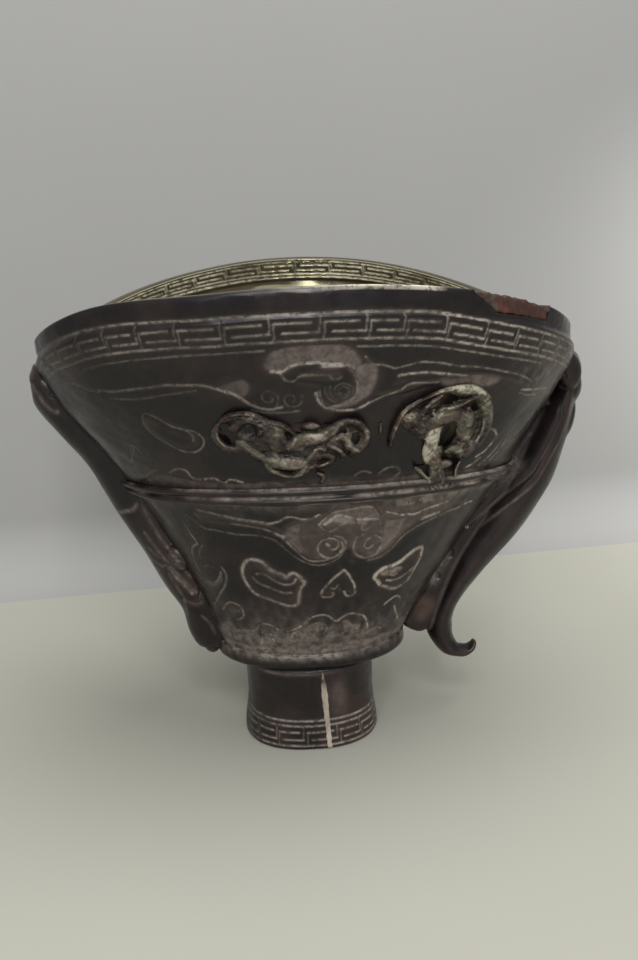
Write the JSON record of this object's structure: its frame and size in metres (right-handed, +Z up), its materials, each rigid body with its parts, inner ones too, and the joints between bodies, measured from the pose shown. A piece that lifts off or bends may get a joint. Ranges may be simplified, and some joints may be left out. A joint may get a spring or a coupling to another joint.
{
  "type": "chinese libation cup",
  "caption": "Footed oval libation cup of dark carved horn with a flared saddle rim, strap dragon handle, spout dragon and relief dragons.",
  "frame": {"origin": "on the table under the middle of the cup's length and depth", "axes": "+X from the spout to the handle, +Z up, the pictured side faces -Y"},
  "size_m": [0.149, 0.1022, 0.1304],
  "materials": {
    "dark_horn": "polished near-black brown horn with pale wax in the carving",
    "brown_horn": "polished dark reddish brown horn",
    "repair_horn": "rough red-brown horn",
    "pale_wax": "dull pale wax"
  },
  "bodies": {
    "root": {"upper_bowl": "dark_horn", "rim_repair": "repair_horn", "lower_bowl": "dark_horn", "waist_ring": "dark_horn", "bowl_floor_plug": "brown_horn", "foot": "brown_horn", "foot_dowel": "brown_horn", "foot_seam_fill": "pale_wax", "handle_dragon": "dark_horn", "handle_peg_upper": "brown_horn", "handle_peg_lower": "brown_horn", "spout_dragon": "dark_horn", "spout_peg_upper": "brown_horn", "spout_peg_lower": "brown_horn", "relief_dragon_centre": "dark_horn", "relief_dragon_right": "dark_horn", "relief_dragon_far_centre": "dark_horn", "relief_dragon_far_right": "dark_horn"}
  },
  "joints": []
}
